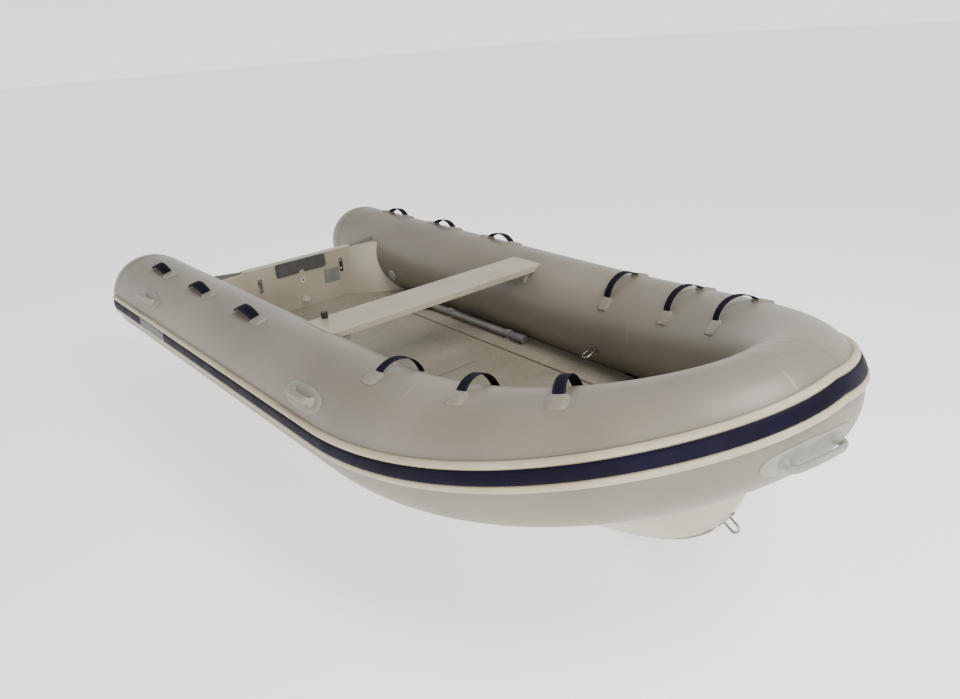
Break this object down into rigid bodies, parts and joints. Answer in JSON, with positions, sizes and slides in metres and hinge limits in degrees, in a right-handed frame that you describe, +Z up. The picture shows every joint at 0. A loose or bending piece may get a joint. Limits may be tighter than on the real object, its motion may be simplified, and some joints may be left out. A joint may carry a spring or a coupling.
{
  "type": "inflatable dinghy",
  "caption": "Rigid inflatable dinghy: moulded V hull with transom, grey inflated collar with rubbing strake, thwart, webbing grab handles and stowed oars.",
  "frame": {"origin": "on the ground under the keel, at the middle of the outline box in X and Y", "axes": "+X to the bow, +Y to port, +Z up"},
  "size_m": [3.4488, 1.6894, 0.839],
  "materials": {
    "collar_fabric": "coated PVC fabric, satin",
    "strake_rubber": "cream moulded PVC, satin",
    "navy_rubber": "navy PVC strip, satin",
    "panel_vinyl": "plain printed vinyl",
    "navy_webbing": "woven webbing",
    "handle_rubber": "moulded PVC, satin",
    "grp_gelcoat": "gelcoat over glass fibre, semi-gloss",
    "keel_rubber": "extruded strip",
    "motor_pad_plastic": "moulded, matt",
    "black_plastic": "moulded, satin",
    "ivory_plastic": "moulded, satin",
    "grey_plastic": "moulded, satin",
    "painted_ply": "ivory paint over marine plywood",
    "valve_plastic": "moulded, satin",
    "oar_aluminium": "anodised tube and light blade",
    "plate_aluminium": "plain plate",
    "stainless": "polished stainless rod"
  },
  "bodies": {
    "boat": {"bow_eye": "stainless", "bow_eye_plate": "stainless", "capacity_plate": "plate_aluminium", "carry_aft_port": "handle_rubber", "carry_aft_starboard": "handle_rubber", "carry_bow": "handle_rubber", "carry_mid_port": "handle_rubber", "carry_mid_starboard": "handle_rubber", "chamber_bow": "collar_fabric", "chamber_port": "collar_fabric", "chamber_starboard": "collar_fabric", "chamber_wall_port": "collar_fabric", "chamber_wall_starboard": "collar_fabric", "drain_socket": "ivory_plastic", "end_cone_port": "collar_fabric", "end_cone_starboard": "collar_fabric", "grab_patches_port": "collar_fabric", "grab_patches_starboard": "collar_fabric", "grab_straps_aft_port": "navy_webbing", "grab_straps_aft_starboard": "navy_webbing", "grab_straps_fore_port": "navy_webbing", "grab_straps_fore_starboard": "navy_webbing", "hull": "grp_gelcoat", "keel_guard": "keel_rubber", "knee_port": "grp_gelcoat", "knee_starboard": "grp_gelcoat", "lifting_eye_port": "stainless", "lifting_eye_starboard": "stainless", "line_grommet": "ivory_plastic", "motor_plate_inner": "motor_pad_plastic", "motor_plate_outer": "motor_pad_plastic", "name_panels": "panel_vinyl", "oar_clips": "valve_plastic", "sole": "grp_gelcoat", "sole_panel": "grp_gelcoat", "stern_eye_plates": "stainless", "stern_eye_port": "stainless", "stern_eye_starboard": "stainless", "strake": "strake_rubber", "strake_inlay": "navy_rubber", "thwart_pad_port": "handle_rubber", "thwart_pad_starboard": "handle_rubber", "transom": "grp_gelcoat", "transom_gusset_port": "collar_fabric", "transom_gusset_starboard": "collar_fabric", "valve_bow": "valve_plastic", "valve_port": "valve_plastic", "valve_starboard": "valve_plastic"},
    "thwart_body": {"thwart": "painted_ply"},
    "thwart_knob_body": {"thwart_knob": "black_plastic"},
    "drain_plug_body": {"drain_plug": "ivory_plastic"},
    "valve_cap_starboard_body": {"valve_cap_starboard": "valve_plastic"},
    "valve_cap_port_body": {"valve_cap_port": "valve_plastic"},
    "valve_cap_bow_body": {"valve_cap_bow": "valve_plastic"},
    "oar_starboard_body": {"oar_starboard": "oar_aluminium", "oar_grip_starboard": "grey_plastic"},
    "oar_port_body": {"oar_port": "oar_aluminium", "oar_grip_port": "grey_plastic"}
  },
  "joints": [
    {"name": "thwart_lift", "type": "slide", "parent": "boat", "child": "thwart_body", "axis": [0, 0, 1], "range_m": [0, 0.15]},
    {"name": "thwart_knob_turn", "type": "hinge", "parent": "thwart_body", "child": "thwart_knob_body", "pos_m": [-0.033, -0.455, 0.656], "axis": [0, 0, 1], "range_deg": [0, 180]},
    {"name": "drain_plug_pull", "type": "slide", "parent": "boat", "child": "drain_plug_body", "axis": [1, 0, 0], "range_m": [0, 0.06]},
    {"name": "valve_cap_starboard_turn", "type": "hinge", "parent": "boat", "child": "valve_cap_starboard_body", "pos_m": [-0.937, -0.42718, 0.41487], "axis": [0, 0.9613, -0.2756], "range_deg": [0, 90]},
    {"name": "valve_cap_port_turn", "type": "hinge", "parent": "boat", "child": "valve_cap_port_body", "pos_m": [-0.937, 0.42718, 0.41487], "axis": [0, -0.9613, -0.2756], "range_deg": [0, 90]},
    {"name": "valve_cap_bow_turn", "type": "hinge", "parent": "boat", "child": "valve_cap_bow_body", "pos_m": [1.20557, -0.21723, 0.57026], "axis": [-0.5261, 0.8336, -0.1685], "range_deg": [0, 90]},
    {"name": "oar_starboard_out", "type": "slide", "parent": "boat", "child": "oar_starboard_body", "axis": [0, 1, 0], "range_m": [0, 0.15]},
    {"name": "oar_port_out", "type": "slide", "parent": "boat", "child": "oar_port_body", "axis": [0, -1, 0], "range_m": [0, 0.15]}
  ]
}
